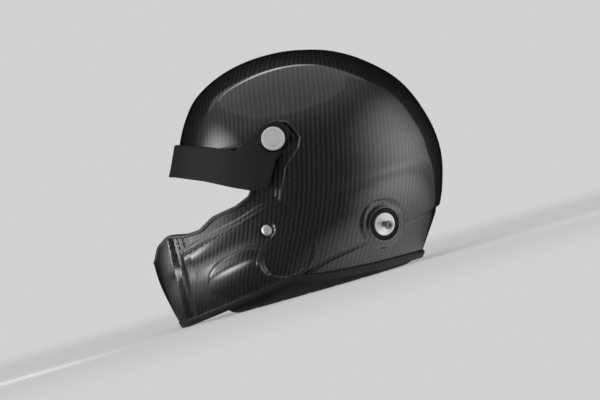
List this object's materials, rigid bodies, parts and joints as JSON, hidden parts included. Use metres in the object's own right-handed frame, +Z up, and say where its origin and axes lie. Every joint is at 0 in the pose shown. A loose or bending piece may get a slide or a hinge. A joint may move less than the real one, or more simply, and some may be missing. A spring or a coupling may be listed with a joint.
{
  "type": "auto racing helmet",
  "caption": "Closed rally helmet with a fixed chin bar, open eyeport, tilting peak, restraint posts, padded lining, chin strap and boom microphone.",
  "frame": {"origin": "on the base plane, under the middle of the helmet", "axes": "+Z up through the crown, -X the way the wearer faces, -Y the wearer's left side; the base lies level"},
  "size_m": [0.3386, 0.2544, 0.2633],
  "materials": {
    "carbon": "clear-coated woven carbon",
    "trim_grey": "satin",
    "trim_black": "matte",
    "peak_black": "matte, fine grain",
    "silver": "turned, satin",
    "nylon": "plain",
    "brass": "plain",
    "ring_black": "anodised black",
    "steel": "plated",
    "foam_black": "moulded bead foam",
    "liner_fabric": "knitted",
    "pad_fabric": "knitted",
    "roll_black": "coated fabric",
    "hard_plastic": "moulded",
    "cushion_leather": "smooth",
    "speaker_black": "perforated",
    "webbing": "woven",
    "boom_black": "sheathed",
    "windscreen_foam": "open-cell foam"
  },
  "bodies": {
    "helmet": {"outer_shell": "carbon", "base_trim": "trim_grey", "eyeport_trim": "trim_black", "peak_washers": "nylon", "peak_inserts": "brass", "strap_rivets": "silver", "anchor_rings": "ring_black", "anchor_dishes": "silver", "anchor_posts": "silver", "anchor_nuts": "steel", "foam_liner": "foam_black", "crown_liner": "liner_fabric", "brow_pad": "liner_fabric", "chin_foam": "foam_black", "cheek_foam_left": "foam_black", "cheek_foam_right": "foam_black", "cheek_pad_left": "pad_fabric", "cheek_pad_right": "pad_fabric", "neck_roll": "roll_black", "ear_cup_left": "hard_plastic", "ear_cup_right": "hard_plastic", "ear_cushion_left": "cushion_leather", "ear_cushion_right": "cushion_leather", "speakers": "speaker_black", "mic_bracket": "hard_plastic", "mic_pin": "steel"},
    "peak": {"peak": "peak_black"},
    "left_screw": {"peak_screw_left": "silver"},
    "right_screw": {"peak_screw_right": "silver"},
    "strap": {"chin_strap": "webbing", "strap_tabs": "steel", "d_rings": "steel", "strap_pad": "pad_fabric"},
    "microphone": {"mic_boom": "boom_black", "mic_capsule": "hard_plastic", "mic_windscreen": "windscreen_foam"}
  },
  "joints": [
    {"name": "peak_tilt", "type": "hinge", "parent": "helmet", "child": "peak", "pos_m": [-0.00549, 0, 0.1713], "axis": [0, 1, 0], "range_deg": [0, 20]},
    {"name": "left_screw_turn", "type": "hinge", "parent": "helmet", "child": "left_screw", "pos_m": [-0.00549, 0, 0.1713], "axis": [0, -1, 0], "continuous": true},
    {"name": "right_screw_turn", "type": "hinge", "parent": "helmet", "child": "right_screw", "pos_m": [-0.00549, 0, 0.1713], "axis": [0, 1, 0], "continuous": true},
    {"name": "strap_swing", "type": "hinge", "parent": "helmet", "child": "strap", "pos_m": [-0.03879, 0, 0.07873], "axis": [0, 1, 0], "range_deg": [-8, 5]},
    {"name": "mic_swing", "type": "hinge", "parent": "helmet", "child": "microphone", "pos_m": [-0.098, -0.0482, 0.052], "axis": [0, 0, 1], "range_deg": [-25, 10]}
  ]
}
